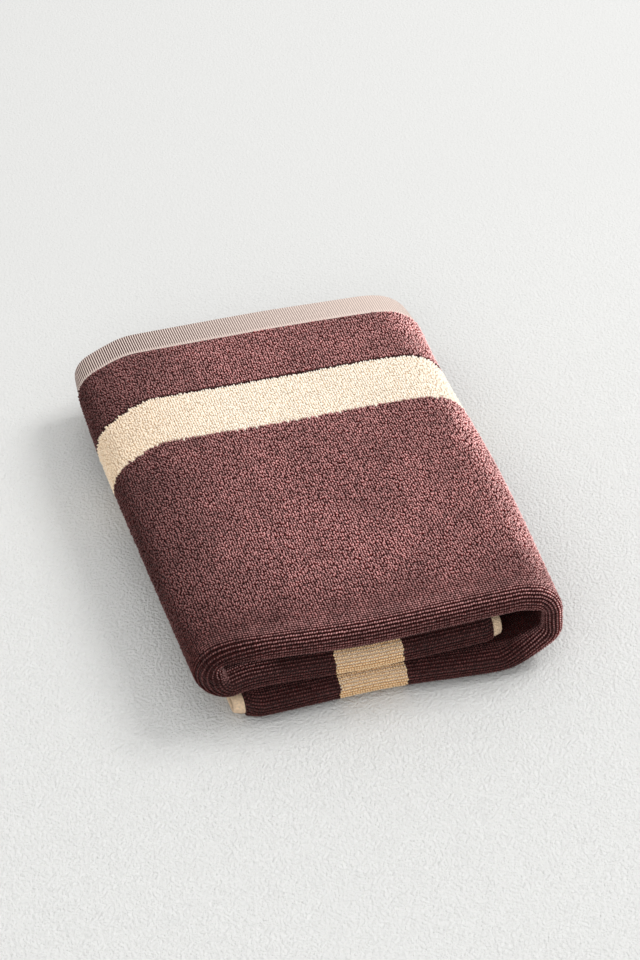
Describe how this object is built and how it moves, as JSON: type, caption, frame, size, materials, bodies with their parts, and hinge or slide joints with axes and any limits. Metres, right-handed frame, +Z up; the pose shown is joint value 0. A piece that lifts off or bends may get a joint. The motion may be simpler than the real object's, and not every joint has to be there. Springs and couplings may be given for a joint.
{
  "type": "folded bath mat",
  "caption": "Terry bath mat folded in thirds both ways into a soft block, dark with a pale stripe frame and flat-woven hems.",
  "frame": {"origin": "on the surface the folded mat lies on, under the middle of its bounding box", "axes": "+X across the folded mat towards its open fold, +Y back from the front fold towards the flat-woven end hem, +Z up"},
  "size_m": [0.1932, 0.2558, 0.0454],
  "materials": {
    "terry": "matt looped pile"
  },
  "bodies": {
    "root": {"bath_mat": "terry"}
  },
  "joints": []
}
